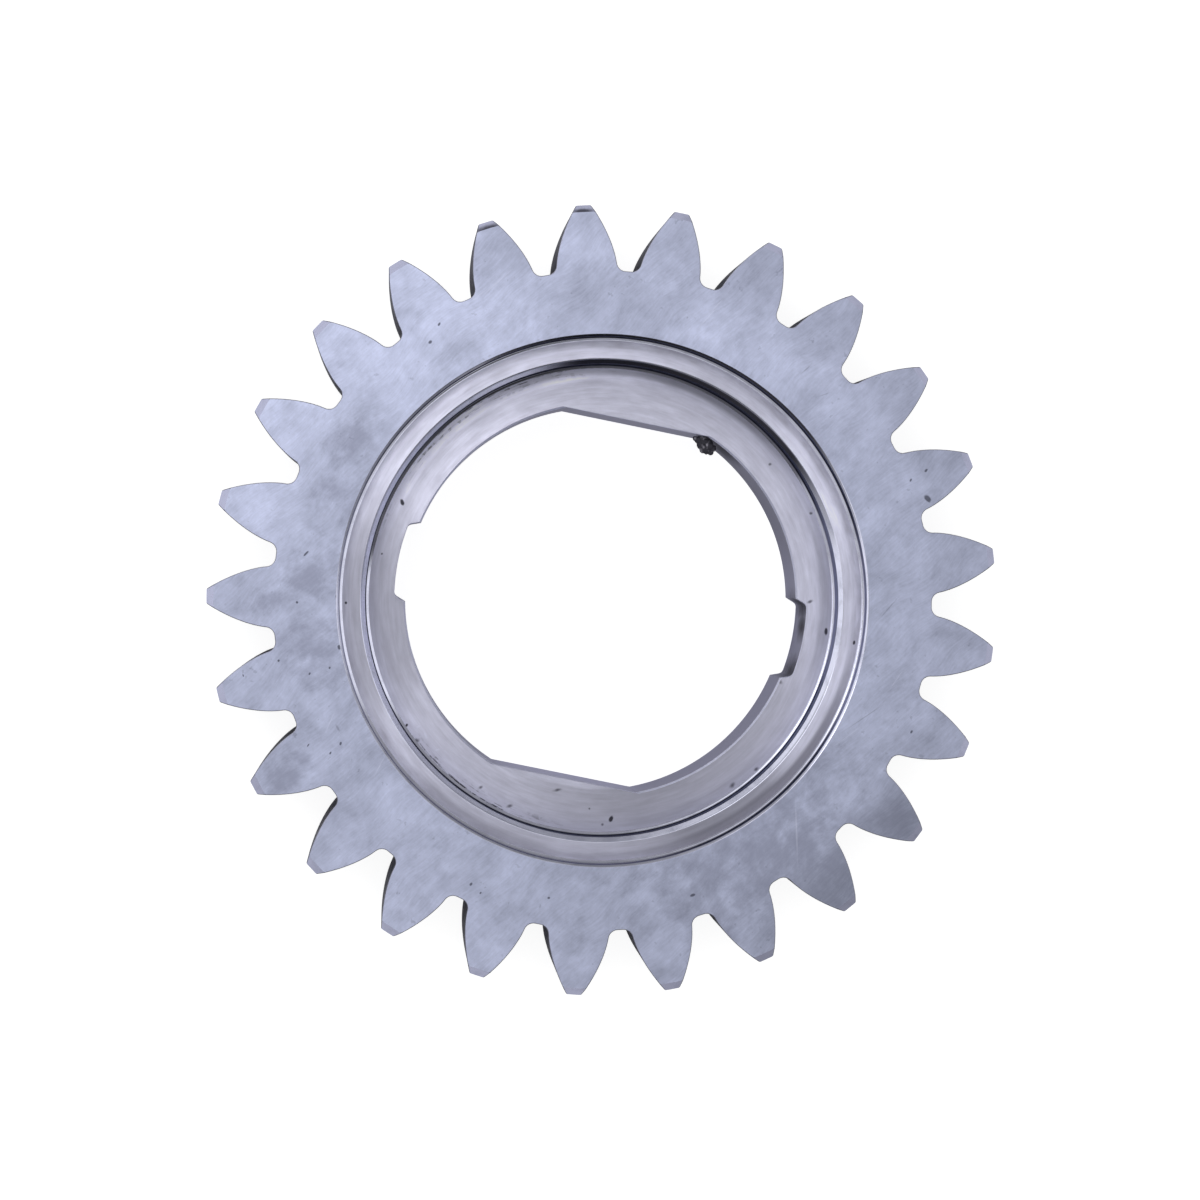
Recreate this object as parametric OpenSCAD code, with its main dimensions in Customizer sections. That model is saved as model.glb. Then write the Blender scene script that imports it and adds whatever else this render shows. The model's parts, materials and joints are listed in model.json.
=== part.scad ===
// Pump drive gear: a spur gear turned and cut from one piece of steel.
// It lies on its plain back face with its axis along Z, its recessed front face up,
// the flats of its bore square to Y and its two notches on X. One tooth points along +Y.
// Lengths are in millimetres and angles in degrees.

/* [Teeth] */
// Number of teeth
teeth = 25; // [22:1:40]
// Module: the pitch diameter divided by the number of teeth
tooth_module = 4; // [3.5:0.25:6]
// Pressure angle of the involute flanks
pressure_angle = 25; // [16:0.5:27]
// Height of a tooth above the pitch circle
addendum = 4; // [3:0.1:4.4]
// Depth of a gap below the pitch circle
dedendum = 5; // [4:0.1:6]
// Thickness taken off each tooth for running clearance
backlash = 0.1; // [0:0.02:0.4]
// Radius of the fillets at the foot of a tooth
root_fillet = 1.3; // [0.4:0.1:1.5]
// Chamfer around the tooth tips on both faces
tip_chamfer = 1; // [0.2:0.1:1.6]

/* [Blank] */
// Width of the gear from face to face
face_width = 22; // [14:0.5:40]

/* [Front recess] */
// Diameter of the wide, shallow recess in the front face
recess_d = 72.2; // [68:0.1:84]
// Depth of its ledge below the front face
recess_depth = 2.5; // [1:0.1:5]
// Chamfer at its mouth
recess_chamfer = 0.25; // [0.1:0.05:0.8]
// Fillet at the foot of its wall
recess_fillet = 0.4; // [0.1:0.05:0.7]

/* [Inner seat] */
// Diameter of the seat sunk into the ledge
seat_d = 65; // [60:0.1:69]
// Depth of its floor below the ledge
seat_depth = 4.5; // [2:0.1:9]
// Chamfer at its mouth
seat_chamfer = 0.65; // [0.1:0.05:1.2]
// Fillet at the foot of its wall
seat_fillet = 0.4; // [0.1:0.05:1]

/* [Drive bore] */
// Diameter of the bore
bore_d = 54; // [48:0.1:56]
// Distance between the two flats
across_flats = 50.2; // [40:0.1:52]
// Chamfer where the bore meets the seat's floor
bore_chamfer = 0.25; // [0.1:0.05:0.6]
// Chamfer of the bore at the back face
back_chamfer = 0.5; // [0.1:0.05:1.2]

/* [Drive notches] */
// Diameter across the floors of the two notches
notch_d = 57; // [56.4:0.1:59]
// Width of a notch where it leaves the bore
notch_width = 11.2; // [6:0.1:16]
// Angle by which each side of a notch leans in
notch_side_angle = 20; // [5:1:35]
// Radius of the two corners of a notch's floor
notch_corner_r = 0.8; // [0.2:0.05:1.2]

/* [Hidden] */
$fn = 180;

// How far a cutting shape runs past the surface that it cuts
past = 1;
// Straight steps that stand for the curve of one flank and of one fillet
flank_steps = 10;
fillet_steps = 5;
// The same for half the floor and for one corner of a notch
notch_floor_steps = 4;
notch_corner_steps = 4;
// Halvings in the search for the widest fillet that a gap can take
fillet_search_steps = 16;

pitch_r = teeth * tooth_module / 2;
base_r = pitch_r * cos(pressure_angle);
tip_r = pitch_r + addendum;
root_r = pitch_r - dedendum;
pitch_angle = 360 / teeth;
// The flanks run this far out, and the turned blank trims them to the tip circle
outline_r = tip_r + past;

ledge_z = face_width - recess_depth;
seat_z = ledge_z - seat_depth;

// Angle between the start of an involute and its point with this pressure angle
function involute_angle(a) = tan(a) * 180 / PI - a;

// Half the angle that a tooth spans at the base circle
tooth_thickness = PI * tooth_module / 2 - backlash;
base_half_angle = tooth_thickness / 2 / pitch_r * 180 / PI + involute_angle(pressure_angle);

// Half the angle that a tooth spans at radius r. Below the base circle its flanks are radial.
function tooth_half_angle(r) =
    r > base_r ? base_half_angle - involute_angle(acos(base_r / r)) : base_half_angle;

// The centre of a root fillet is one fillet radius above the root circle. The fillet touches
// the involute, or the radial stretch below it where the centre is too low for that.
function meets_involute(f) = pow(root_r + f, 2) - pow(base_r, 2) >= f * f;
function fillet_centre_angle(f) =
    meets_involute(f)
        ? base_half_angle + f / base_r * 180 / PI - involute_angle(acos(base_r / (root_r + f)))
        : base_half_angle + asin(f / (root_r + f));
function fillet_end_r(f) =
    meets_involute(f)
        ? norm([base_r, sqrt(pow(root_r + f, 2) - pow(base_r, 2)) - f])
        : sqrt(pow(root_r + f, 2) - f * f);

// Widest fillet whose centre still lies on its own side of the gap, found by halving
function widest_fillet(low, high, steps) =
    steps == 0 ? low
    : let (middle = (low + high) / 2)
        fillet_centre_angle(middle) < pitch_angle / 2
            ? widest_fillet(middle, high, steps - 1)
            : widest_fillet(low, middle, steps - 1);

fillet_r = min(root_fillet, 0.98 * widest_fillet(0, dedendum, fillet_search_steps));
fillet_centre = at_angle(root_r + fillet_r, fillet_centre_angle(fillet_r));
flank_start_r = fillet_end_r(fillet_r);

function at_angle(r, a) = [r * cos(a), r * sin(a)];
function direction(v) = atan2(v.y, v.x);
function turned(p, a) = [p.x * cos(a) - p.y * sin(a), p.x * sin(a) + p.y * cos(a)];
function mirrored(list) = [for (p = list) [p.x, -p.y]];
function backwards(list) = [for (i = [len(list) - 1 : -1 : 0]) list[i]];

// Points of an arc that turns counter-clockwise about a centre from one direction to another
function arc(centre, r, from, to, steps) =
    let (sweep = (to - from + 720) % 360)
        [for (i = [0 : steps]) centre + at_angle(r, from + sweep * i / steps)];

// Radii of the points of a flank, evenly spaced along the involute's string
string_start = sqrt(max(0, pow(flank_start_r, 2) - pow(base_r, 2)));
string_end = sqrt(pow(outline_r, 2) - pow(base_r, 2));
flank_radii = [
    for (i = [0 : flank_steps])
        norm([base_r, string_start + (string_end - string_start) * i / flank_steps])];

// Upper half of the tooth on +X, from the root circle over the fillet and up the flank
fillet_end = at_angle(flank_start_r, tooth_half_angle(flank_start_r));
fillet_points = arc(
    fillet_centre, fillet_r,
    direction(fillet_centre) + 180, direction(fillet_end - fillet_centre), fillet_steps);
first_flank_step = flank_start_r < base_r ? 0 : 1;
half_tooth = concat(
    fillet_points,
    [for (i = [first_flank_step : flank_steps])
        at_angle(flank_radii[i], tooth_half_angle(flank_radii[i]))]);
tooth = concat(mirrored(half_tooth), backwards(half_tooth));

// Outline of the toothed rim, with a tooth on +Y
module toothed_outline() {
    polygon([
        for (i = [0 : teeth - 1])
            for (p = tooth)
                turned(p, 90 + i * pitch_angle)]);
}

// The blank as it is turned before its teeth are cut
module turned_blank() {
    rotate_extrude()
        polygon([
            [0, 0],
            [tip_r - tip_chamfer, 0],
            [tip_r, tip_chamfer],
            [tip_r, face_width - tip_chamfer],
            [tip_r - tip_chamfer, face_width],
            [0, face_width]]);
}

// A round pocket sunk from z = depth to z = 0, with a chamfered mouth and a filleted foot
module turned_pocket(r, depth, chamfer, fillet) {
    rotate_extrude() {
        square([r - fillet, depth + past]);
        translate([0, fillet])
            square([r, depth - fillet + past]);
        translate([r - fillet, fillet])
            circle(r = fillet);
        polygon([
            [0, depth - chamfer],
            [r, depth - chamfer],
            [r + chamfer + past, depth + past],
            [0, depth + past]]);
    }
}

// The bore as it is turned, with a chamfer at each end
module turned_bore() {
    r = bore_d / 2;
    rotate_extrude()
        polygon([
            [0, -past],
            [r + back_chamfer + past, -past],
            [r, back_chamfer],
            [r, seat_z - bore_chamfer],
            [r + bore_chamfer + past, seat_z + past],
            [0, seat_z + past]]);
}

// The notch on +X: sides that lean in, a floor on a circle, and round corners between them
module notch_outline() {
    bore_r = bore_d / 2;
    floor_r = notch_d / 2;
    mouth = [sqrt(pow(bore_r, 2) - pow(notch_width / 2, 2)), notch_width / 2];
    // Along the side towards the floor, and square to it towards the notch's middle
    along = at_angle(1, -notch_side_angle);
    inward = at_angle(1, -90 - notch_side_angle);
    // The corner's centre is one corner radius from the side and from the floor
    beside = mouth + notch_corner_r * inward;
    lead = beside * along;
    reach = sqrt(lead * lead - beside * beside + pow(floor_r - notch_corner_r, 2)) - lead;
    corner = beside + reach * along;

    floor_half = arc([0, 0], floor_r, 0, direction(corner), notch_floor_steps);
    corner_points = arc(
        corner, notch_corner_r, direction(corner), direction(-inward), notch_corner_steps);
    upper_half = concat(
        floor_half,
        [for (i = [1 : notch_corner_steps]) corner_points[i]],
        [mouth - past * along]);
    polygon(concat([[0, 0]], mirrored(backwards(upper_half)), upper_half));
}

// Everything that the bore takes away: a round hole between two flats, and two notches
module drive_bore() {
    intersection() {
        turned_bore();
        translate([-bore_d, -across_flats / 2, -2 * past])
            cube([2 * bore_d, across_flats, seat_z + 4 * past]);
    }
    for (turn = [0, 180])
        rotate(turn)
            translate([0, 0, -past])
                linear_extrude(seat_z + 2 * past)
                    notch_outline();
}

module drive_gear() {
    color([0.66, 0.68, 0.76])
        difference() {
            intersection() {
                linear_extrude(face_width)
                    toothed_outline();
                turned_blank();
            }
            translate([0, 0, ledge_z])
                turned_pocket(recess_d / 2, recess_depth, recess_chamfer, recess_fillet);
            translate([0, 0, seat_z])
                turned_pocket(seat_d / 2, seat_depth, seat_chamfer, seat_fillet);
            drive_bore();
        }
}

drive_gear();
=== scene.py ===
"""Pump drive gear: a worn steel spur gear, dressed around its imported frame.

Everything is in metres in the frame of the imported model: the axis is Z, the back face lies
at z = 0, the flats of the bore are square to Y and one tooth points along +Y.
"""

import inspect
import json
import math
from functools import cached_property

import bmesh
import bpy
from mathutils import Matrix, Vector, noise


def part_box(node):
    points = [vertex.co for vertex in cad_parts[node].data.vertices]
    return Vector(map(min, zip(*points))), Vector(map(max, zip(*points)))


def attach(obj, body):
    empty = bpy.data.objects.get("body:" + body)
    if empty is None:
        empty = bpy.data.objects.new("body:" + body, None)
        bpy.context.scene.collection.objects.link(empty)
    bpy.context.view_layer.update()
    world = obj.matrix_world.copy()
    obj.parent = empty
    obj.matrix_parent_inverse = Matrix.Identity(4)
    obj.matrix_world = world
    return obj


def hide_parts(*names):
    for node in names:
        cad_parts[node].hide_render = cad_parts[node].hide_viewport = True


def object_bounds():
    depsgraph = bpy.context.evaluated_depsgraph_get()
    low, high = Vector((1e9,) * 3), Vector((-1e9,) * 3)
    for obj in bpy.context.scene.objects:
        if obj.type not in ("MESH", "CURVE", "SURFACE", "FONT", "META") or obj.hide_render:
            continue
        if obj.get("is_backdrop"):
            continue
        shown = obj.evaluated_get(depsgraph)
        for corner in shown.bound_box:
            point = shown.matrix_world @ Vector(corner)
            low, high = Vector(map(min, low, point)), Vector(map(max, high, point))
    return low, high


bl_info = {
    "name": "Pump Drive Gear",
    "version": (1, 0, 0),
    "blender": (4, 5, 0),
    "location": "View3D > Sidebar > Drive Gear",
    "description": "Builds a worn steel drive gear with a stepped recess and a notched bore",
    "category": "Add Mesh",
}

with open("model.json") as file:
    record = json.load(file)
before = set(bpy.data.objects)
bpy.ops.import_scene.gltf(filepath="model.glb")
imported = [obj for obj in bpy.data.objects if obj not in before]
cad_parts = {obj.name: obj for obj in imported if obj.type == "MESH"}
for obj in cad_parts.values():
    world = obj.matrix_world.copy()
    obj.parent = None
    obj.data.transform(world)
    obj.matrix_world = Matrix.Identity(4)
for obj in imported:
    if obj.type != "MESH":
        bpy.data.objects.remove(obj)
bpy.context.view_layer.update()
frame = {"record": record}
MOUNTS = {mount["name"]: mount for mount in frame["record"]["mounts"]}

MM = 0.001
NODE = "drive_gear"

# Finishes of the gear's faces, in the order of its material slots
FINISHES = [
    "Ground Steel", "Turned Steel", "Turned Wall", "Cut Steel", "Broached Steel", "Broken Edge",
]
GROUND, TURNED, WALL, CUT, BROACHED, EDGE = range(len(FINISHES))
FINISH_ATTRIBUTE = "finish"

# Straight steps that stand for half a tip, one flank, one root fillet and half a root land
TIP_STEPS = 3
FLANK_STEPS = 12
FILLET_STEPS = 7
ROOT_STEPS = 2
HALF_TOOTH_STEPS = TIP_STEPS + 1 + FLANK_STEPS + FILLET_STEPS + ROOT_STEPS
# Strips of a tooth's tip, counted from a face, that belong to its chamfer
CHAMFER_STRIPS = 4

# Steps round a turned fillet, and how far the loops that hold its curve stand off it
TURNED_STEPS = 6
HOLD = 0.08 * MM
# Width of the rubbed lip on each turned chamfer
LIP = 0.04 * MM
# A break of two facets has its middle corner this share of its width in from each side
BREAK_SHARE = 1 - math.sqrt(0.5)
SHARP_ANGLE = math.radians(16)
MERGE_DISTANCE = 0.002 * MM


def mount_radius(name):
    """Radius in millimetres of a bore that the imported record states."""
    return MOUNTS[name]["dims"]["r_mm"]


def mount_height(name):
    """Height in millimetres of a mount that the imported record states."""
    return MOUNTS[name]["pos_m"][2] / MM


def length_value(label, size_mm, tip, lowest=0.0):
    """A length property with its default in millimetres."""
    return bpy.props.FloatProperty(
        name=label, description=tip, default=size_mm * MM, min=lowest, precision=5, unit="LENGTH"
    )


def angle_value(label, degrees, tip):
    """An angle property with its default in degrees."""
    return bpy.props.FloatProperty(
        name=label, description=tip, default=math.radians(degrees), subtype="ANGLE"
    )


def colour_value(label, colour, tip):
    """A colour property."""
    return bpy.props.FloatVectorProperty(
        name=label, description=tip, default=colour, min=0.0, max=1.0, size=3, subtype="COLOR"
    )


class ToothSizes(bpy.types.PropertyGroup):
    """Sizes of the toothed rim."""

    teeth: bpy.props.IntProperty(name="Teeth", description="Number of teeth", default=25, min=12)
    module: length_value("Module", 4, "Pitch diameter divided by the number of teeth")
    pressure_angle: angle_value("Pressure Angle", 25, "Pressure angle of the involute flanks")
    addendum: length_value("Addendum", 4, "Height of a tooth above the pitch circle")
    dedendum: length_value("Dedendum", 5, "Depth of a gap below the pitch circle")
    backlash: length_value("Backlash", 0.1, "Thickness taken off each tooth")
    root_fillet: length_value("Root Fillet", 1.3, "Radius at the foot of a tooth")
    tip_chamfer: length_value("Tip Chamfer", 1, "Chamfer around the tips on both faces")
    edge_break: length_value("Edge Break", 0.1, "Brushed edge along the teeth on both faces")
    tip_break: length_value("Tip Break", 0.1, "Brushed edge between a flank and its tip")


class BlankSizes(bpy.types.PropertyGroup):
    """Sizes of the turned blank and its drive bore."""

    face_width: length_value("Face Width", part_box(NODE)[1].z / MM, "Width from face to face")
    recess_r: length_value("Recess Radius", mount_radius("front_recess"), "Wide recess")
    ledge_z: length_value("Ledge Height", mount_height("recess_ledge"), "Recess ledge")
    recess_chamfer: length_value("Recess Chamfer", 0.25, "Chamfer at the recess mouth")
    recess_fillet: length_value("Recess Fillet", 0.4, "Fillet at the foot of the recess wall")
    seat_r: length_value("Seat Radius", mount_radius("inner_seat"), "Inner seat")
    seat_z: length_value("Seat Height", mount_height("seat_floor"), "Floor of the seat")
    seat_chamfer: length_value("Seat Chamfer", 0.65, "Chamfer at the mouth of the seat")
    seat_fillet: length_value("Seat Fillet", 0.4, "Fillet at the foot of the seat wall")
    bore_r: length_value("Bore Radius", 27, "Round part of the drive bore")
    flat_y: length_value("Flat Distance", 25.1, "From the axis to each flat")
    bore_chamfer: length_value("Bore Chamfer", 0.25, "Chamfer of the bore at the seat")
    back_chamfer: length_value("Back Chamfer", 0.5, "Chamfer of the bore at the back")
    bore_break: length_value("Bore Break", 0.08, "Brushed edge of the flats and notches")
    notch_floor_r: length_value("Notch Floor Radius", 28.5, "From the axis to a notch floor")
    notch_half_width: length_value("Notch Half Width", 5.6, "At the mouth of a notch")
    notch_corner_r: length_value("Notch Corner Radius", 0.8, "Corners of a notch floor")
    notch_lean: angle_value("Notch Lean", 20, "Angle by which each side of a notch leans in")


class SteelColours(bpy.types.PropertyGroup):
    """Colours of the steel and of what has settled on it."""

    ground: colour_value("Ground", (0.424, 0.453, 0.598), "Ground front and back faces")
    ground_dull: colour_value("Ground Dull", (0.27, 0.285, 0.385), "Stains on the ground faces")
    turned: colour_value("Turned", (0.70, 0.705, 0.85), "Turned recess")
    grease: colour_value("Grease", (0.25, 0.24, 0.285), "Brown film in the recess")
    wall: colour_value("Wall", (0.05, 0.05, 0.065), "Walls of the recess, dark with oil")
    # Dark partly from oil and partly as painted shade
    cut: colour_value("Cut", (0.20, 0.205, 0.25), "Cut flanks and roots")
    # Dark partly from oil and partly as painted shade
    broached: colour_value("Broached", (0.27, 0.27, 0.365), "Bore, flats and notches")
    edge: colour_value("Edge", (0.76, 0.775, 0.93), "Brushed edges and chamfers")
    tip: colour_value("Tip", (0.70, 0.72, 0.96), "Chamfers of the tooth tips")
    # The dark colour of dirt and dents, also used for painted shade on chamfers, tips and the seat
    dirt: colour_value("Dirt", (0.035, 0.034, 0.045), "Dents and dirt")


class CameraPlace(bpy.types.PropertyGroup):
    """Where the camera stands over the front face."""

    height: length_value("Height", 550, "Camera height above the front face")
    foot_distance: length_value("Foot Distance", 29.9, "From the axis to the camera's foot")
    foot_direction: angle_value("Foot Direction", 180.3, "Direction of the foot about the axis")
    picture_up: angle_value("Picture Up", 101.5, "Direction on the gear that is up in the picture")
    framed_height: length_value("Framed Height", 163.6, "Height of the picture at the face")
    aim_right: length_value("Aim Right", -0.5, "From the axis to the picture's centre", -1.0)
    aim_up: length_value("Aim Up", 0.1, "From the axis to the picture's centre", -1.0)


# Geometry of the teeth


def at_angle(radius, angle):
    """The point of the XY plane at this radius and angle."""
    return Vector((radius * math.cos(angle), radius * math.sin(angle)))


def lifted(point, height):
    """A point of the XY plane at this height."""
    return Vector((point.x, point.y, height))


def involute_angle(pressure):
    """Angle between the start of an involute and its point with this pressure angle."""
    return math.tan(pressure) - pressure


class ToothForm:
    """Radii and angles that follow from the sizes of the teeth."""

    def __init__(self, sizes):
        self.pitch_r = sizes.teeth * sizes.module / 2
        self.base_r = self.pitch_r * math.cos(sizes.pressure_angle)
        self.tip_r = self.pitch_r + sizes.addendum
        self.root_r = self.pitch_r - sizes.dedendum
        self.half_pitch = math.pi / sizes.teeth
        thickness = math.pi * sizes.module / 2 - sizes.backlash
        self.base_half_angle = thickness / 2 / self.pitch_r + involute_angle(sizes.pressure_angle)
        self.fillet_r = sizes.root_fillet
        self.fillet_centre_r = self.root_r + self.fillet_r
        if self.fillet_centre_r <= math.hypot(self.base_r, self.fillet_r):
            raise ValueError("the root fillet doesn't reach the involute")
        self.fillet_string = math.sqrt(self.fillet_centre_r**2 - self.base_r**2)
        centre_involute = involute_angle(math.acos(self.base_r / self.fillet_centre_r))
        fillet_turn = self.fillet_r / self.base_r
        self.fillet_centre_angle = self.base_half_angle + fillet_turn - centre_involute
        self.tip_break = sizes.tip_break

    def half_angle(self, radius, inset):
        """Half the angle that a tooth spans here, with its flanks moved in by the inset."""
        pressure = math.acos(min(1.0, self.base_r / radius))
        return self.base_half_angle - inset / self.base_r - involute_angle(pressure)

    def half_outline(self, top_r, inset):
        """Radius and angle of each point from the middle of a tip to the middle of a gap."""
        tip_edge = self.half_angle(top_r, inset) - self.tip_break / top_r
        points = [(top_r, tip_edge * i / TIP_STEPS) for i in range(TIP_STEPS + 1)]

        string_top = math.sqrt((top_r - self.tip_break) ** 2 - self.base_r**2)
        string_foot = self.fillet_string - self.fillet_r - inset
        for i in range(FLANK_STEPS + 1):
            string = string_top + (string_foot - string_top) * i / FLANK_STEPS
            radius = math.hypot(self.base_r, string)
            points.append((radius, self.half_angle(radius, inset)))

        centre = at_angle(self.fillet_centre_r, self.fillet_centre_angle)
        foot = at_angle(*points[-1]) - centre
        turn = (-centre).angle_signed(foot)
        for i in range(1, FILLET_STEPS + 1):
            arm = foot.copy()
            arm.rotate(Matrix.Rotation(turn * i / FILLET_STEPS, 2))
            point = centre + arm
            points.append((point.length, math.atan2(point.y, point.x)))

        root_foot = points[-1][1]
        for i in range(1, ROOT_STEPS + 1):
            angle = root_foot + (self.half_pitch - root_foot) * i / ROOT_STEPS
            points.append((self.root_r - inset, angle))
        return points

    def outline(self, top_r, inset, height):
        """Points of one pitch with the tooth on +Y, from gap to gap at this height."""
        half = self.half_outline(top_r, inset)
        whole = [(radius, -angle) for radius, angle in reversed(half)] + half[1:]
        return [lifted(at_angle(radius, math.pi / 2 + angle), height) for radius, angle in whole]


def bridged_mesh(name, loops, finish_of, closed):
    """A mesh of quads between each loop of points and the next, with a finish on each face."""
    count = len(loops[0])
    spans = count if closed else count - 1
    points = [point for loop in loops for point in loop]
    faces = []
    finishes = []
    for strip in range(len(loops) - 1):
        for i in range(spans):
            near = strip * count
            far = near + count
            after = (i + 1) % count
            faces.append((near + i, far + i, far + after, near + after))
            finishes.append(finish_of(strip, i))
    mesh = bpy.data.meshes.new(name)
    mesh.from_pydata(points, [], faces)
    finish = mesh.attributes.new(FINISH_ATTRIBUTE, "INT", "FACE")
    finish.data.foreach_set("value", finishes)
    return mesh


def tooth_sector_mesh(teeth, blank):
    """One pitch of the rim, from the recess mouth over a tooth to the back face."""
    form = ToothForm(teeth)
    mouth_r = blank.recess_r + blank.recess_chamfer + LIP
    width = blank.face_width
    chamfer = teeth.tip_chamfer
    broken = teeth.edge_break
    middle = broken * BREAK_SHARE
    short_r = form.tip_r - chamfer
    # Height below the face, tip radius there and how far the flanks are moved in
    upper_edge = [
        (0, short_r, broken),
        (middle, short_r + middle, middle),
        (broken, short_r + broken, 0),
        (chamfer / 2, short_r + chamfer / 2, 0),
        (chamfer, form.tip_r, 0),
    ]
    count = 2 * HALF_TOOTH_STEPS + 1
    step = 2 * form.half_pitch / (count - 1)
    start = math.pi / 2 - form.half_pitch
    mouth = [at_angle(mouth_r, start + step * i) for i in range(count)]
    loops = [[lifted(point, width) for point in mouth]]
    loops += [form.outline(top, inset, width - depth) for depth, top, inset in upper_edge]
    loops += [form.outline(top, inset, depth) for depth, top, inset in reversed(upper_edge)]
    loops += [[lifted(point, 0) for point in mouth]]

    strips = len(loops) - 1
    tip_span = range(HALF_TOOTH_STEPS - TIP_STEPS, HALF_TOOTH_STEPS + TIP_STEPS)

    def finish_of(strip, i):
        from_face = min(strip, strips - 1 - strip)
        if from_face == 0:
            return GROUND
        if i in tip_span:
            return EDGE if from_face <= CHAMFER_STRIPS else TURNED
        return CUT

    return bridged_mesh("tooth_sector", loops, finish_of, closed=False)


# Geometry of the recess and the bore


class BoreForm:
    """The bore's radius in each direction, with its round part and its edges widened."""

    def __init__(self, blank):
        self.blank = blank
        half_width = blank.notch_half_width
        self.mouth = Vector((math.sqrt(blank.bore_r**2 - half_width**2), half_width))
        self.along = at_angle(1, -blank.notch_lean)
        self.inward = at_angle(1, -math.pi / 2 - blank.notch_lean)
        beside = self.mouth + blank.notch_corner_r * self.inward
        lead = beside.dot(self.along)
        floor_to_centre = blank.notch_floor_r - blank.notch_corner_r
        reach = math.sqrt(lead**2 - beside.length_squared + floor_to_centre**2) - lead
        self.corner = beside + reach * self.along
        side_foot = self.corner - blank.notch_corner_r * self.inward
        self.corner_from = math.atan2(self.corner.y, self.corner.x)
        self.corner_to = math.atan2(side_foot.y, side_foot.x)
        self.mouth_angle = math.atan2(self.mouth.y, self.mouth.x)
        self.flat_from = math.asin(blank.flat_y / blank.bore_r)

    def notch_radius(self, angle, widened):
        """Radius of the notch in a direction between its middle and its mouth."""
        ray = at_angle(1, angle)
        if angle <= self.corner_from:
            return self.blank.notch_floor_r + widened
        if angle <= self.corner_to:
            lead = self.corner.dot(ray)
            corner_r = self.blank.notch_corner_r + widened
            return lead + math.sqrt(lead**2 - self.corner.length_squared + corner_r**2)
        start = self.mouth - widened * self.inward
        across = start.x * self.along.y - start.y * self.along.x
        return across / (ray.x * self.along.y - ray.y * self.along.x)

    def radius(self, angle, round_widened, edge_widened):
        """Radius of the bore in any direction."""
        folded = math.asin(min(1.0, abs(math.sin(angle))))
        round_r = self.blank.bore_r + round_widened
        if folded > 0:
            round_r = min(round_r, (self.blank.flat_y + edge_widened) / math.sin(folded))
        if folded < self.mouth_angle:
            return max(round_r, self.notch_radius(folded, edge_widened))
        return round_r

    def corner_angles(self):
        """Every direction in which the bore's outline has a corner or starts an arc."""
        quarter = [self.corner_from, self.corner_to, self.mouth_angle, self.flat_from]
        half = quarter + [math.pi - angle for angle in quarter]
        return half + [angle + math.pi for angle in half]


def fillet_arc(centre_r, centre_z, radius):
    """Radius and height of each point of a turned fillet, from its floor to its wall."""
    turns = [-math.pi / 2 * (1 - i / TURNED_STEPS) for i in range(TURNED_STEPS + 1)]
    return [
        (centre_r + radius * math.cos(turn), centre_z + radius * math.sin(turn)) for turn in turns
    ]


def core_mesh(teeth, blank):
    """The inside of the gear, from the back face through the bore and the recess to its mouth."""
    bore = BoreForm(blank)
    count = 2 * HALF_TOOTH_STEPS * teeth.teeth
    step = 2 * math.pi / count
    start = math.pi / 2 - math.pi / teeth.teeth
    even = [start + step * i for i in range(count)]
    fitted = list(even)
    for corner in bore.corner_angles():
        nearest = round((corner - start) / step)
        fitted[nearest % count] = corner

    def circle(radius, height):
        return [lifted(at_angle(radius, angle), height) for angle in even]

    def bore_loop(round_widened, edge_widened, height):
        radii = [bore.radius(angle, round_widened, edge_widened) for angle in fitted]
        return [lifted(at_angle(r, a), height) for r, a in zip(radii, fitted)]

    width = blank.face_width
    ledge = blank.ledge_z
    seat = blank.seat_z
    mouth_r = blank.recess_r + blank.recess_chamfer + LIP
    broken = blank.bore_break
    loops = [circle(mouth_r, 0), circle(blank.notch_floor_r + 2 * blank.back_chamfer, 0)]
    finishes = [GROUND]

    def add(made, finish):
        loops.append(made)
        finishes.append(finish)

    def add_step(radius, floor, top, fillet, chamfer):
        """A turned wall, from the fillet at its foot to the lip of its chamfer."""
        foot = fillet_arc(radius - fillet, floor + fillet, fillet)
        add(circle(foot[0][0] - HOLD, floor), TURNED)
        for number, (arc_r, height) in enumerate(foot):
            add(circle(arc_r, height), EDGE if number <= TURNED_STEPS / 2 else WALL)
        add(circle(radius, foot[-1][1] + HOLD), WALL)
        add(circle(radius, top - chamfer), WALL)
        add(circle(radius + chamfer - LIP, top - LIP), EDGE)
        add(circle(radius + chamfer + LIP, top), EDGE)

    add(bore_loop(blank.back_chamfer, broken, 0), GROUND)
    add(bore_loop(blank.back_chamfer - broken, 0, broken), EDGE)
    add(bore_loop(0, 0, blank.back_chamfer), EDGE)
    add(bore_loop(0, 0, seat - blank.bore_chamfer), BROACHED)
    add(bore_loop(blank.bore_chamfer - broken, 0, seat - broken), EDGE)
    add(bore_loop(blank.bore_chamfer, broken, seat), EDGE)
    add(circle(blank.notch_floor_r + blank.bore_chamfer + broken, seat), TURNED)

    add_step(blank.seat_r, seat, ledge, blank.seat_fillet, blank.seat_chamfer)
    add_step(blank.recess_r, ledge, width, blank.recess_fillet, blank.recess_chamfer)
    return bridged_mesh("gear_core", loops, lambda strip, i: finishes[strip], closed=True)


# Node helpers


class Value:
    """An output of a node. Sums can be written with it, and each adds a Math node."""

    def __init__(self, socket):
        self.socket = socket
        self.tree = socket.id_data

    def __add__(self, other):
        return sums("ADD", self, other)

    def __sub__(self, other):
        return sums("SUBTRACT", self, other)

    def __rsub__(self, other):
        return sums("SUBTRACT", other, self)

    def __mul__(self, other):
        return sums("MULTIPLY", self, other)

    def __truediv__(self, other):
        return sums("DIVIDE", self, other)

    def __rtruediv__(self, other):
        return sums("DIVIDE", other, self)


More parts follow.
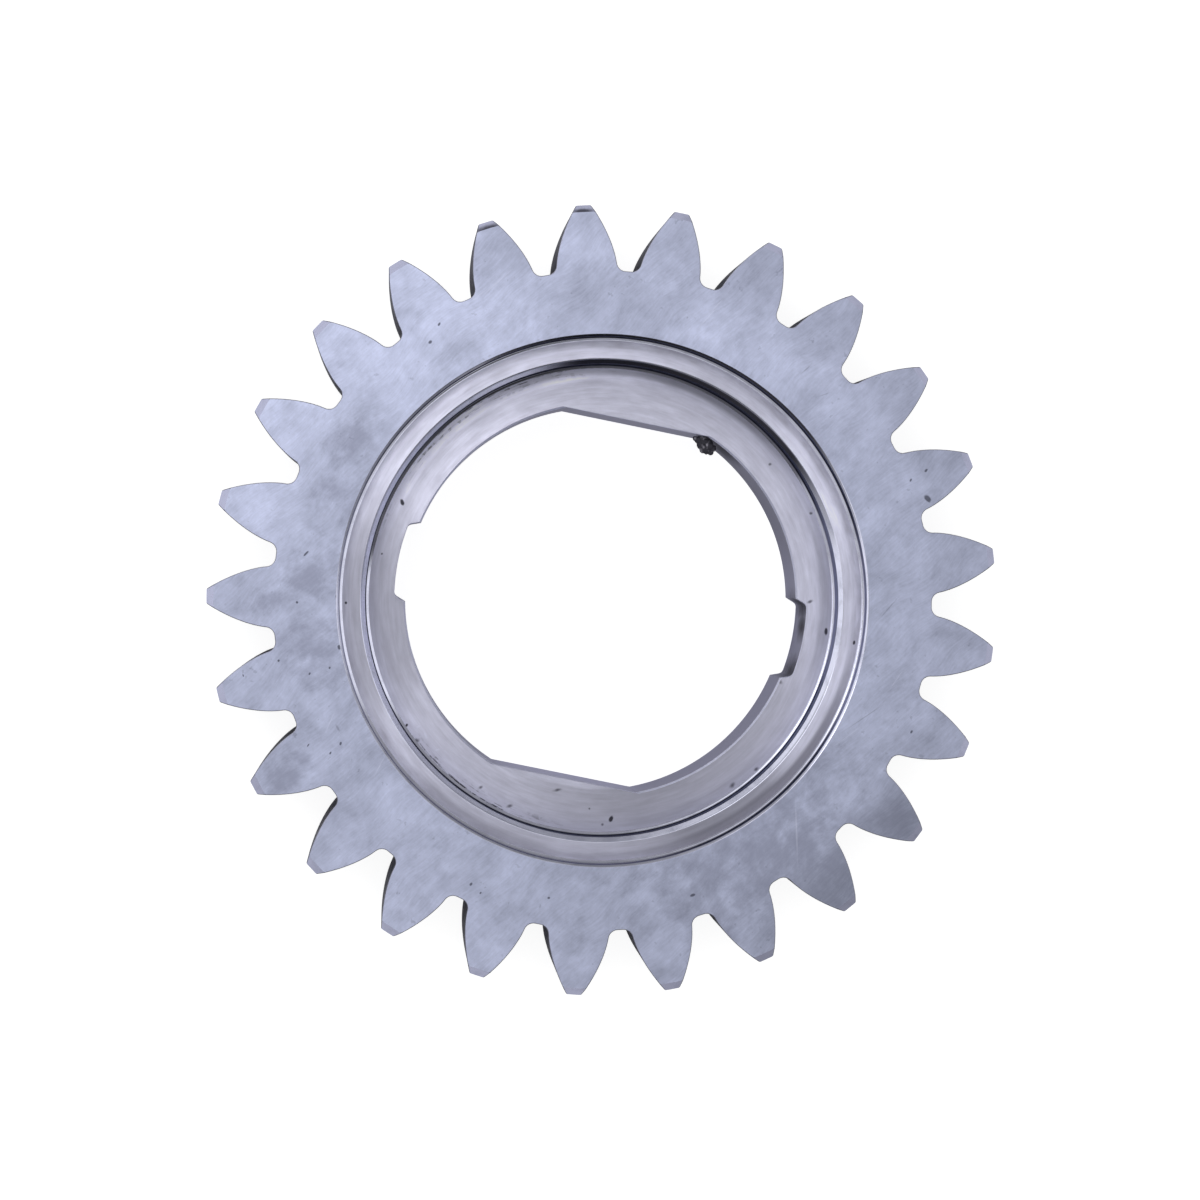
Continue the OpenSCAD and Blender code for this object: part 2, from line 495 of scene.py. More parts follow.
def feed(node, name, source):
    """Links a socket to a value, or sets it where the source is a plain number or colour."""
    socket = node.inputs[name]
    if isinstance(source, Value):
        node.id_data.links.new(source.socket, socket)
    else:
        socket.default_value = (*source, 1.0) if socket.type == "RGBA" else source


def add_node(tree, kind, inputs=None, **settings):
    """Adds a node, sets its properties and feeds its inputs by name or number."""
    made = tree.nodes.new(kind)
    for name, value in settings.items():
        setattr(made, name, value)
    for name, source in (inputs or {}).items():
        feed(made, name, source)
    return made


def made_by(kind, inputs, output=0, **settings):
    """The output of a new node, in the tree that its inputs come from."""
    tree = next(source.tree for source in inputs.values() if isinstance(source, Value))
    return Value(add_node(tree, kind, inputs, **settings).outputs[output])


def named_outputs(node):
    """The outputs of a node by their names in lower case."""
    named = [output for output in node.outputs if output.name]
    return {output.name.lower().replace(" ", "_"): Value(output) for output in named}


def sums(operation, *values):
    """The output of a Math node."""
    return made_by("ShaderNodeMath", dict(enumerate(values)), operation=operation)


def extreme(values, operation="MAXIMUM"):
    """The highest of several values, or the lowest with MINIMUM."""
    made, *others = values
    for value in others:
        made = sums(operation, made, value)
    return made


def stepped(value, low, high, to_low=0.0, to_high=1.0):
    """The output of a Map Range node with a smooth step."""
    inputs = dict(enumerate((value, low, high, to_low, to_high)))
    return made_by("ShaderNodeMapRange", inputs, interpolation_type="SMOOTHSTEP")


def blended(factor, first, second, blend="MIX"):
    """The output of a colour Mix node."""
    inputs = {"Factor": factor, 6: first, 7: second}
    return made_by("ShaderNodeMix", inputs, 2, data_type="RGBA", blend_type=blend)


def grained(place, scale, detail=2.0, roughness=0.5, distortion=0.0, **settings):
    """The value of a noise at a place."""
    inputs = {
        "Vector": place,
        "Scale": scale,
        "Detail": detail,
        "Roughness": roughness,
        "Distortion": distortion,
    }
    return made_by("ShaderNodeTexNoise", inputs, **settings)


def parts_of(vector):
    """The three parts of a vector."""
    made = add_node(vector.tree, "ShaderNodeSeparateXYZ", {0: vector})
    return [Value(part) for part in made.outputs]


def joined(*parts):
    """A vector made of its parts."""
    return made_by("ShaderNodeCombineXYZ", dict(enumerate(parts)))


def length_of(vector):
    """The length of a vector."""
    return made_by("ShaderNodeVectorMath", {0: vector}, "Value", operation="LENGTH")


# Node groups that the finishes share

# Scale of the noise that bends scratches
DRIFT_GRAIN = 110.0


def polar_share(place):
    """Distance from the axis, and the shares of it that lie along X and Y."""
    x, y, _ = parts_of(place)
    radius = sums("SQRT", x * x + y * y)
    return radius, x / radius, y / radius


def scratch_lay(
    place,
    direction=0.0,
    width=0.1 * MM,
    length=5 * MM,
    detail=2.0,
    fineness=0.5,
    cover=0.5,
    softness=0.1,
    wander=0.0,
):
    """Marks along one direction of the XY plane, each longer than it is wide."""
    drift = {"Vector": place, "Scale": DRIFT_GRAIN, "Detail": 1.0}
    drift = made_by("ShaderNodeTexNoise", drift, "Color")
    drift = made_by("ShaderNodeVectorMath", {0: drift, "Scale": wander}, operation="SCALE")
    moved = made_by("ShaderNodeVectorMath", {0: place, 1: drift}, operation="ADD")
    turn = {"Vector": moved, "Angle": direction * -1.0}
    along, across, _ = parts_of(made_by("ShaderNodeVectorRotate", turn, rotation_type="Z_AXIS"))
    marks = joined(along / length, across / width)
    grain = grained(marks, 1.0, detail, roughness=fineness, noise_dimensions="2D")
    low = 1.0 - cover
    return stepped(grain, low, low + softness), grain


def soft_stains(place, size=6 * MM, low=0.45, high=0.65):
    """Soft clouds with a ragged edge."""
    cloud = grained(place, 1.0 / size, detail=5.0, roughness=0.6, distortion=0.4)
    return [stepped(cloud, low, high)]


def spot_share(place, centre, turn, size):
    """Distance from a spot's centre as a share of its radius, which may be longer one way."""
    inputs = {"Vector": place, "Location": centre, "Rotation": turn, "Scale": size}
    return [length_of(made_by("ShaderNodeMapping", inputs, vector_type="TEXTURE"))]


def ragged_edge(share=1.0, ragged=0.5, outer=1.15, inner=0.6):
    """The mask of the nearest spot, with an edge that a noise makes ragged."""
    return [stepped(share + (ragged - 0.5), outer, inner)]


def ring_sector(
    radius=0.0,
    x=1.0,
    y=0.0,
    inner=0.0,
    outer=1.0,
    softness=0.1 * MM,
    aim_x=1.0,
    aim_y=0.0,
    far=-3.0,
    near=-2.0,
):
    """1 between two radii and near one direction, 0 beyond their soft edges."""
    beyond = stepped(radius, inner - softness, inner + softness)
    within = stepped(radius, outer + softness, outer - softness)
    return [beyond * within * stepped(x * aim_x + y * aim_y, far, near)]


def turning_marks(
    radius=0.0, x=1.0, y=0.0, pitch=0.15 * MM, streak=0.4 * MM, streaks_round=5.0
):
    """Height of the fine rings that a lathe tool leaves, and broken streaks along them."""
    rings = {"W": radius / pitch, "Scale": 1.0, "Detail": 3.0}
    rings = made_by("ShaderNodeTexNoise", rings, noise_dimensions="1D")
    around = joined(x * streaks_round, y * streaks_round, radius / streak)
    return rings, grained(around, 1.0, detail=5.0, roughness=0.62)


def name_shown(name):
    """The name that a group's socket shows, from its name in this script."""
    return name.replace("_", " ").title()


def new_group(title, work, *outputs):
    """A shader node group that works as a function does, with its arguments for inputs.

    An argument without a default is a vector, and any other is a number.
    """
    tree = bpy.data.node_groups.new(title, "ShaderNodeTree")
    for name, argument in inspect.signature(work).parameters.items():
        vector = argument.default is argument.empty
        kind = "NodeSocketVector" if vector else "NodeSocketFloat"
        socket = tree.interface.new_socket(name_shown(name), in_out="INPUT", socket_type=kind)
        if not vector:
            socket.default_value = argument.default
    for name in outputs:
        tree.interface.new_socket(name, in_out="OUTPUT", socket_type="NodeSocketFloat")
    given = named_outputs(add_node(tree, "NodeGroupInput"))
    add_node(tree, "NodeGroupOutput", dict(zip(outputs, work(**given))))
    return tree


def shared_groups():
    """The node groups by their short names."""
    return {
        "polar": new_group("Round The Axis", polar_share, "Radius", "X", "Y"),
        "scratches": new_group("Scratch Lay", scratch_lay, "Mask", "Height"),
        "stains": new_group("Soft Stains", soft_stains, "Mask"),
        "spot": new_group("Spot Share", spot_share, "Share"),
        "ragged": new_group("Ragged Edge", ragged_edge, "Mask"),
        "sector": new_group("Ring Sector", ring_sector, "Mask"),
        "turning": new_group("Turning Marks", turning_marks, "Height", "Streaks"),
    }


# Materials


def picture_place(right_mm, up_mm, height):
    """A place by its distances from the axis to the right and up in the picture."""
    up = bpy.context.scene.gear_camera.picture_up
    right = at_angle(1, up - math.pi / 2)
    upward = at_angle(1, up)
    return lifted((right * right_mm + upward * up_mm) * MM, height)


def picture_direction(degrees):
    """An angle in the picture, from its right, as an angle about the axis."""
    return bpy.context.scene.gear_camera.picture_up - math.pi / 2 + math.radians(degrees)


class Finish:
    """A material in the making: its shader, its place, its base colour and its marks."""

    def __init__(self, name, base, roughness, groups=None, metallic=1.0, anisotropy=0.0):
        self.material = bpy.data.materials.new(name)
        self.material.use_nodes = True
        self.tree = self.material.node_tree
        self.shader = self.tree.nodes["Principled BSDF"]
        self.feed("Metallic", metallic)
        self.feed("Roughness", roughness)
        self.feed("Anisotropic", anisotropy)
        self.place = Value(add_node(self.tree, "ShaderNodeTexCoord").outputs["Object"])
        self.base = base
        self.groups = groups

    def done(self):
        """Feeds the base colour and gives the material."""
        self.feed("Base Color", self.base)
        return self.material

    def feed(self, name, source):
        """Links or sets a socket of the shader."""
        feed(self.shader, name, source)

    def cover(self, mask, colour):
        """Blends the base towards a colour by a mask."""
        self.base = blended(mask, self.base, colour)

    def shade(self, value):
        """Multiplies the base by a value."""
        grey = made_by("ShaderNodeCombineColor", {0: value, 1: value, 2: value})
        self.base = blended(1.0, self.base, grey, "MULTIPLY")

    def bump(self, height, distance):
        """Sets a bump on the shader's normal."""
        inputs = {"Strength": 1.0, "Distance": distance, "Height": height}
        self.feed("Normal", made_by("ShaderNodeBump", inputs))

    def noise(self, scale, detail=2.0):
        """A plain noise."""
        return grained(self.place, scale, detail)

    def lines(self, across, along):
        """A noise drawn out along the axis, by its scale across and along it."""
        inputs = {"Vector": self.place, "Scale": (across, across, along)}
        return grained(made_by("ShaderNodeMapping", inputs), 1.0)

    def group(self, name, **inputs):
        """Places a shared node group and gives its outputs by name."""
        sources = {name_shown(label): source for label, source in inputs.items()}
        node_tree = self.groups[name]
        return named_outputs(add_node(self.tree, "ShaderNodeGroup", sources, node_tree=node_tree))

    def stains(self, size_mm, low, high):
        """Soft clouds of this size."""
        return self.group("stains", place=self.place, size=size_mm * MM, low=low, high=high)["mask"]

    def scratches(self, degrees, width_mm, length_mm, wander_mm, **inputs):
        """Marks along one direction of the picture."""
        return self.group(
            "scratches",
            place=self.place,
            direction=picture_direction(degrees),
            width=width_mm * MM,
            length=length_mm * MM,
            wander=wander_mm * MM,
            **inputs,
        )

    @cached_property
    def polar(self):
        """The place as a radius and the shares of it along X and Y."""
        return self.group("polar", place=self.place)

    def sector(self, inner_mm, outer_mm, degrees, near, far, soft_mm=0.4):
        """The mask of part of a ring, whole within the near angle of a picture direction."""
        aim = at_angle(1, picture_direction(degrees))
        made = self.group(
            "sector",
            **self.polar,
            inner=inner_mm * MM,
            outer=outer_mm * MM,
            softness=soft_mm * MM,
            aim_x=aim.x,
            aim_y=aim.y,
            far=math.cos(math.radians(far)),
            near=math.cos(math.radians(near)),
        )
        return made["mask"]

    def tone(self, parts, soft_mm):
        """Painted light and shade: brightness with parts of rings darker by their strength, or
        lighter if it is below 0.
        """
        bright = 1.0
        for *part, strength in parts:
            bright = sums("MULTIPLY_ADD", self.sector(*part, soft_mm), -strength, bright)
        return bright

    def spots(self, places, height, ragged, outer=1.15, inner=0.6, tall=1):
        """The combined mask of spots given as right, up, radius, stretch and direction."""
        shares = [
            self.group(
                "spot",
                place=self.place,
                centre=picture_place(right_mm, up_mm, height),
                turn=(0.0, 0.0, picture_direction(degrees)),
                size=Vector((stretch, 1, tall)) * radius_mm * MM,
            )["share"]
            for right_mm, up_mm, radius_mm, stretch, degrees in places
        ]
        nearest = extreme(shares, "MINIMUM")
        made = self.group("ragged", share=nearest, ragged=ragged, outer=outer, inner=inner)
        return made["mask"]


# Scales of the noises that break up the marks
FINE_GRAIN = 1200.0
RAGGED_GRAIN = 700.0
BROAD_GRAIN = 380.0

# Shares of a mark's radius at which its ragged edge ends and its full strength starts
STAIN_EDGE = (1.7, -0.1)
SCRATCH_EDGE = (1.3, 0.2)
SMUDGE_EDGE = (1.4, 0.2)
SCUFF_EDGE = (1.3, 0.4)
CHAMFER_EDGE = (1.4, 0.4)
DIRT_EDGE = (1.7, 0.0)

# Marks on the gear: millimetres right and up of the axis in the picture, radius, length
# for width, and the direction of the length in degrees
FACE_DENTS = [
    (-22.4, 37.6, 0.16, 1.8, 60),
    (-23.6, 35.2, 0.22, 1.4, 40),
    (-40.5, 6.4, 0.13, 3.6, 45),
    (-41.7, -0.2, 0.18, 1.0, 0),
    (-44.2, -8.1, 0.16, 1.2, 80),
    (-37.3, -9.1, 0.15, 1.3, 60),
    (44.4, 14.0, 0.4, 1.6, 130),
    (44.2, 17.8, 0.18, 1.6, 50),
    (42.1, 16.5, 0.16, 1.8, 60),
    (42.2, -18.0, 0.18, 1.6, 60),
    (-18.1, -38.6, 0.18, 1.6, 50),
    (-16.8, -39.8, 0.14, 1.4, 50),
    (-7.5, -40.5, 0.15, 1.2, 20),
    (12.2, -40.2, 0.2, 2.2, 20),
    (-36.3, 0.6, 0.2, 1.6, 90),
    (-36.0, -6.3, 0.22, 1.6, 100),
    (-40.0, -9.9, 0.13, 1.5, 60),
    (-40.2, -19.6, 0.11, 3.0, 55),
    (-35.8, -19.4, 0.15, 1.8, 70),
    (-37.2, -20.7, 0.13, 1.8, 60),
    (-29.3, -21.1, 0.16, 1.5, 130),
    (-49.0, -10.1, 0.1, 2.6, 110),
]
FACE_SCORES = [
    (35.7, -16.0, 0.08, 38.0, 34),
    (39.2, -0.9, 0.09, 22.0, 49),
    (30.3, 28.2, 0.09, 10.0, 20),
    (27.7, 31.6, 0.08, 12.0, 42),
    (-36.2, -17.3, 0.16, 4.0, 118),
]
FACE_STAINS = [
    (-36.6, 15.4, 1.9, 1.3, 70),
    (-34.2, 12.2, 1.4, 1.2, 20),
    (-40.0, 3.2, 2.6, 1.5, 60),
    (-44.5, 0.4, 1.6, 1.4, 20),
    (-38.4, -3.2, 1.4, 1.1, 0),
    (-39.9, -7.2, 3.2, 1.2, 120),
    (-43.2, -24.0, 1.8, 1.6, 30),
    (-41.0, -21.8, 1.1, 1.2, 0),
    (-35.9, -19.9, 0.9, 1.2, 40),
    (-34.0, 22.0, 2.2, 1.3, 50),
    # This large soft spot is painted shade that darkens the lower right of the face
    (22.0, -34.0, 8.0, 1.5, 20),
]
FACE_SCRATCHES = [
    (-14.4, 43.4, 0.09, 30.0, 42),
    (-17.2, 41.4, 0.08, 22.0, 38),
    (14.2, 38.6, 0.08, 24.0, 48),
    (15.4, 40.2, 0.07, 18.0, 46),
    (26.4, -31.2, 0.13, 34.0, 92),
    (-30.6, -22.6, 0.08, 22.0, 62),
    (-37.2, -16.4, 0.08, 24.0, 66),
    (40.0, -11.0, 0.08, 22.0, 55),
    (33.5, -18.5, 0.07, 36.0, 36),
]
LEDGE_DENTS = [
    (-35.1, -0.3, 0.16, 1.2, 90),
    (34.6, -5.8, 0.18, 1.8, 80),
]
SEAT_DENTS = [
    (-27.4, 13.5, 0.27, 1.9, 105),
    (1.4, -30.2, 0.27, 1.9, 62),
    (-30.2, 6.4, 0.14, 1.2, 60),
    (-26.8, -17.2, 0.16, 1.4, 60),
    (31.2, -4.4, 0.26, 2.0, 85),
]
SEAT_SMUDGES = [
    (23.4, 18.8, 0.2, 1.2, 0),
    (18.2, -25.6, 0.3, 1.6, 40),
    (21.5, -23.4, 0.25, 1.6, 40),
    (29.1, 12.0, 0.2, 1.2, 0),
    (-16.6, -25.8, 0.22, 1.5, 20),
    (-12.6, -28.4, 0.25, 1.8, 10),
    (-6.0, -26.2, 0.22, 2.6, 10),
    (-1.6, -28.8, 0.16, 1.0, 0),
    (0.2, -31.0, 0.2, 1.2, 60),
    (-25.6, -19.4, 0.3, 2.2, 20),
    (-20.0, -25.6, 0.2, 2.0, 60),
    (29.0, -0.2, 0.2, 2.2, 25),
    (24.6, -11.2, 0.28, 2.2, -30),
]
SEAT_SCUFFS = [
    (-24.2, -18.6, 0.16, 3.2, 110),
    (-25.2, -17.4, 0.14, 2.4, 30),
    (-22.6, -20.6, 0.14, 2.6, 20),
]
DIRTY_CHAMFERS = [
    (-15.9, 50.3, 1.0, 2.2, 17),
    (-2.9, 53.2, 0.55, 3.0, 3),
]
# The same for dirt in the bore, with its height in millimetres after right and up; the last spot,
# beside the crumb of grit, is painted shade
BORE_DIRT = [
    (28.2, -0.6, 11.0, 1.4, 1.4, 90),
    (28.3, -3.8, 11.0, 0.8, 2.2, 90),
    (27.0, -10.0, 11.0, 1.5, 1.2, 60),
    (16.6, 20.6, 13.0, 1.6, 1.6, 150),
]

# Parts of rings: inner and outer radius in millimetres, picture direction, near and far angle. The
# painted shade on the turned chamfers and fillets and on the tips, in the dark colour, ends with
# its strength
CHAMFER_OIL = [
    (32.3, 33.05, 66, 28, 44, 0.97),
    (32.98, 33.3, 80, 30, 45, 0.6),
    (32.98, 33.3, 140, 30, 45, 0.5),
    (36.0, 36.6, 75, 35, 52, 0.96),
    (36.0, 36.6, 140, 22, 42, 0.6),
    (36.0, 36.6, 240, 35, 60, 0.5),
    (36.0, 36.6, 290, 22, 40, 0.62),
    (32.95, 33.3, 262, 38, 52, 0.3),
    (32.3, 33.05, 285, 22, 38, 0.28),
    (31.9, 32.42, 100, 66, 76, 0.9),
    (31.9, 32.42, 245, 32, 42, 0.72),
    (31.9, 32.42, 285, 12, 42, 0.66),
    (31.9, 32.42, 20, 6, 18, 0.5),
    (35.6, 36.02, 60, 48, 66, 0.42),
    (35.6, 36.02, 240, 28, 45, 0.72),
    (35.6, 36.02, 290, 22, 50, 0.75),
    (32.95, 33.3, 312, 18, 34, 0.45),
    (52.7, 55.0, 304, 12, 34, 0.44),
]
# Parts of the walls painted lighter as painted light, with their softness last where it isn't 0.4
WIPED_WALLS = [
    (34, 40, 352, 10, 28),
    (34, 40, 222, 48, 75),
    (31, 34, 2, 10, 26, 0.3),
]
# Where soot and painted shade gather at the foot of the seat wall, with their softness last
SOOT_PARTS = [
    (28, 32.6, 238, 12, 26, 0.2),
    (28, 32.6, 125, 12, 45, 0.2),
]
# Painted light and shade: parts of rings that are darker by the strength at their end, or lighter
# where it is below 0
# Painted light and shade on the face and the teeth, by direction
FACE_TONES = [
    (46, 60, 316, 6, 24, 0.36),
    (46, 60, 107, 3, 8, 0.2),
    (46, 60, 35, 35, 50, 0.14),
    (44, 60, 138, 20, 42, -0.2),
    (46, 60, 244, 10, 26, -0.18),
    (36, 44, 120, 5, 25, -0.18),
    (36, 44, 62, 4, 18, -0.1),
    (36, 44, 90, 3, 16, 0.08),
    (36, 44, 240, 5, 25, -0.12),
]
# Painted highlights and shade on the turned rings, in fans by direction
TURNED_TONES = [
    (26.0, 37.0, 181, 5, 32, 0.28),
    (26.0, 37.0, 300, 12, 60, 0.34),
    (33.0, 34.6, 30, 5, 24, -0.3),
    (33.0, 34.6, 90, 5, 26, -0.2),
    (33.0, 34.6, 332, 5, 22, -0.24),
    (33.0, 34.6, 271, 3, 20, -0.12),
    (33.0, 34.6, 300, 5, 20, 0.14),
    (33.0, 34.6, 240, 3, 18, 0.12),
    (34.4, 37.0, 240, 3, 22, 0.3),
    (34.4, 37.0, 315, 15, 40, 0.34),
    (34.4, 37.0, 135, 15, 40, -0.2),
    (30.4, 32.8, 120, 22, 50, -0.4),
    (30.4, 32.8, 0, 5, 25, 0.28),
    (30.4, 32.8, 212, 5, 25, -0.1),
    (30.4, 32.8, 298, 5, 25, 0.15),
    (31.2, 33.0, 76, 26, 48, 0.5),
]
# Painted shade and light on the bore walls, by direction
BORE_TONES = [
    (0, 40, 36, 8, 32, 0.4),
    (0, 40, 258, 14, 26, -0.5),
]

# How far the fine grooves of the turned faces lean outwards, as a slope
TURNED_LEAN = 0.11
# Heights of the relief on each finish
GROUND_RELIEF = 0.004 * MM
TURNED_RELIEF = 0.003 * MM
WALL_RELIEF = 0.002 * MM
CUT_RELIEF = 0.006 * MM
GRIT_RELIEF = 0.05 * MM
# The walls are seen edge-on, where their tints at grazing angles count most
WALL_TINT = (0.42, 0.45, 0.58)
BORE_TINT = (0.86, 0.86, 1.0)
# The chamfers of the tips lie beyond the first pair of radii, and the edges of the bore
# within the second
TIP_EDGES = (45 * MM, 46 * MM)
BORE_EDGES = (31 * MM, 30 * MM)


def ground_steel(groups, colours):
    """The two ground faces: clouds down to a fine grain, crossed scratches, stains, dents, and
    painted light and shade by direction.
    """
    steel = Finish(FINISHES[GROUND], colours.ground, 0.4, groups)
    height = bpy.context.scene.gear_blank.face_width
    mottle = steel.scratches(48, 5.5, 8, 2.5, detail=7.0, fineness=0.76)["height"]
    lay = steel.scratches(42, 0.24, 2.6, 3)["height"]
    cross = steel.scratches(64, 0.3, 4, 3, cover=0.36, softness=0.16)["mask"]
    fine = steel.noise(FINE_GRAIN)
    broad = steel.noise(BROAD_GRAIN, 4.0)
    pits = stepped(fine, 0.66, 0.74) * stepped(broad, 0.48, 0.58)
    tattered = broad * 2.8 + mottle * 2.6 - 2.2
    dents = steel.spots(FACE_DENTS, height, fine)
    # Stains, and the painted shade at the lower right of the face
    stains = steel.spots(FACE_STAINS, height, tattered, *STAIN_EDGE)
    scratches = steel.spots(FACE_SCRATCHES, height, fine, *SCRATCH_EDGE)
    scores = steel.spots(FACE_SCORES, height, fine, *SCRATCH_EDGE)

    clouds = mottle * 0.8 + lay * 0.24 + broad * 0.36 + fine * 0.08 + 0.26
    clouds = clouds - pits * 0.22 - cross * 0.045
    # Painted light and shade: the face lighter and darker by direction
    steel.shade(clouds * steel.tone(FACE_TONES, 3.0))
    steel.cover(stains * 0.62, colours.ground_dull)
    steel.cover(scratches * 0.22, colours.edge)
    steel.cover(extreme([scores * 0.3, dents * 0.65]), colours.dirt)
    steel.feed("Roughness", mottle * 0.12 + dents * 0.3 + 0.34)
    steel.bump(lay * 0.4 - cross * 0.3, GROUND_RELIEF)
    return steel.done()


def turned_steel(groups, colours):
    """The turned recess: fine rings, a brown film on the outer step, soot and painted shade at the
    foot, and painted highlights and shade by direction.
    """
    steel = Finish(FINISHES[TURNED], colours.turned, 0.45, groups, anisotropy=0.92)
    # The shine lies across rings that run round the axis
    steel.feed("Anisotropic Rotation", 0.25)
    tangent = add_node(steel.tree, "ShaderNodeTangent", direction_type="RADIAL", axis="Z")
    steel.feed("Tangent", Value(tangent.outputs[0]))

    blank = bpy.context.scene.gear_blank
    radius = steel.polar["radius"]
    marks = steel.group("turning", **steel.polar)
    streaks = marks["streaks"]
    smears = steel.group("turning", **steel.polar, streak=1.1 * MM, streaks_round=9.0)["streaks"]
    fine = steel.noise(FINE_GRAIN)
    seat_dents = steel.spots(SEAT_DENTS, blank.seat_z, fine)
    ledge_dents = steel.spots(LEDGE_DENTS, blank.ledge_z, fine)
    smudges = steel.spots(SEAT_SMUDGES, blank.seat_z, fine, *SMUDGE_EDGE)
    scuffs = steel.spots(SEAT_SCUFFS, blank.seat_z, fine, *SCUFF_EDGE)

    # The film lies on the outer half of the ledge, and least of all at the upper left, where the
    # rings are left lighter as painted light
    film = stepped(radius, blank.seat_r + 1.2 * MM, blank.recess_r - 0.9 * MM)
    bare = steel.sector(30, 40, 142, 12, 60)
    film = film * (1.0 - bare * 0.9) * (smears * 1.6 - 0.3) * 0.65
    film = extreme([film, smears * 0.5 - 0.12])

    # Soot and painted shade on the seat where its wall stands, at the upper and lower left
    foot = stepped(radius, blank.seat_r - 2.0 * MM, blank.seat_r - 0.4 * MM)
    patchy = stepped(streaks, 0.46, 0.6)
    specks = stepped(fine, 0.46, 0.56) * 0.6 + 0.4
    soot = foot * extreme(steel.sector(*part) for part in SOOT_PARTS) * patchy * specks

    # Painted highlights and shade on the rings, by direction
    steel.shade((streaks * 0.5 + 0.75) * steel.tone(TURNED_TONES, 0.4))
    steel.cover(film, colours.grease)
    steel.cover(scuffs * 0.8, colours.edge)
    steel.cover(smudges * 0.75, colours.dirt)
    # Soot and painted shade at the foot of the seat wall
    steel.cover(soot, colours.dirt)
    steel.cover(extreme([seat_dents, ledge_dents]) * 0.95, colours.dirt)
    steel.feed("Roughness", smears * 0.16 + 0.34)
    height = sums("MULTIPLY_ADD", radius, -TURNED_LEAN, marks["height"] * TURNED_RELIEF)
    steel.bump(height, 1.0)
    return steel.done()


def turned_wall(groups, colours):
    """The walls of the recess, dark with oil between their rings and with painted shade."""
    steel = Finish(FINISHES[WALL], colours.wall, 0.35, groups)
    steel.feed("Specular Tint", WALL_TINT)
    steel.cover(steel.stains(2, 0.35, 0.75) * 0.5, colours.dirt)
    # To mirrored rays the wall shows much of the turned colour, so the rings beside it don't mirror
    # its painted shade
    rays = add_node(steel.tree, "ShaderNodeLightPath")
    steel.cover(Value(rays.outputs["Is Glossy Ray"]) * 0.65, colours.turned)
    # Painted light: parts of the walls lighter by direction
    wiped = extreme(steel.sector(*part) for part in WIPED_WALLS)
    steel.cover(wiped * 0.55, colours.turned)
    steel.bump(steel.lines(60.0, 5000.0), WALL_RELIEF)
    return steel.done()


def cut_steel(groups, colours):
    """The flanks and roots: dark with oil and with painted shade, with fine lines along the teeth.
    """
    steel = Finish(FINISHES[CUT], colours.cut, 0.42, groups)
    film = steel.stains(5, 0.35, 0.7)
    steel.cover(film * 0.35, colours.broached)
    steel.feed("Roughness", film * 0.15 + 0.35)
    steel.bump(steel.lines(2500.0, 60.0), CUT_RELIEF)
    return steel.done()


def broached_steel(groups, colours):
    """The bore, its flats and its notches: lines along the axis, a brown film, dirt with a spot of
    painted shade beside the crumb, and painted shade and light by direction.
    """
    steel = Finish(FINISHES[BROACHED], colours.broached, 0.4, groups)
    steel.feed("Specular Tint", BORE_TINT)
    steel.cover(steel.stains(3, 0.35, 0.7) * 0.2, colours.grease)
    # Painted shade and light by direction on the bore walls
    steel.shade(steel.tone(BORE_TONES, 1.0))
    ragged = steel.noise(RAGGED_GRAIN, 4.0)
    # Dirt in the bore, and a spot of painted shade beside the crumb
    dirty = extreme(
        steel.spots([(right_mm, up_mm, *shape)], height_mm * MM, ragged, *DIRT_EDGE, tall=6)
        for right_mm, up_mm, height_mm, *shape in BORE_DIRT
    )
    dirty = dirty * 0.88
    steel.cover(dirty, colours.dirt)
    steel.feed("Metallic", 1.0 - dirty)
    steel.feed("Roughness", dirty * 0.6 + 0.4)
    steel.bump(steel.lines(3000.0, 40.0), CUT_RELIEF)
    return steel.done()


def edge_steel(groups, colours):
    """Brushed edges and turned chamfers, with dirt rubbed into some of them and painted shade on
    chamfers, fillets and tips by direction.
    """
    steel = Finish(FINISHES[EDGE], colours.edge, 0.1, groups)
    radius = steel.polar["radius"]
    worn = steel.stains(2.5, 0.4, 0.75)
    steel.cover(stepped(radius, *TIP_EDGES), colours.tip)
    steel.cover(worn * 0.3, colours.ground_dull)
    height = bpy.context.scene.gear_blank.face_width
    ragged = steel.noise(RAGGED_GRAIN, 3.0)
    dirty = steel.spots(DIRTY_CHAMFERS, height, ragged, *CHAMFER_EDGE)
    steel.cover(dirty * 0.85, colours.dirt)
    # Painted shade: chamfers, fillets and tips darker by direction
    oily = extreme(steel.sector(*part, 0.12) * strength for *part, strength in CHAMFER_OIL)
    steel.cover(oily, colours.dirt)
    steel.feed("Roughness", worn * 0.1 + stepped(radius, *BORE_EDGES) * 0.2 + 0.15)
    return steel.done()


FINISH_MAKERS = [ground_steel, turned_steel, turned_wall, cut_steel, broached_steel, edge_steel]


# Geometry nodes


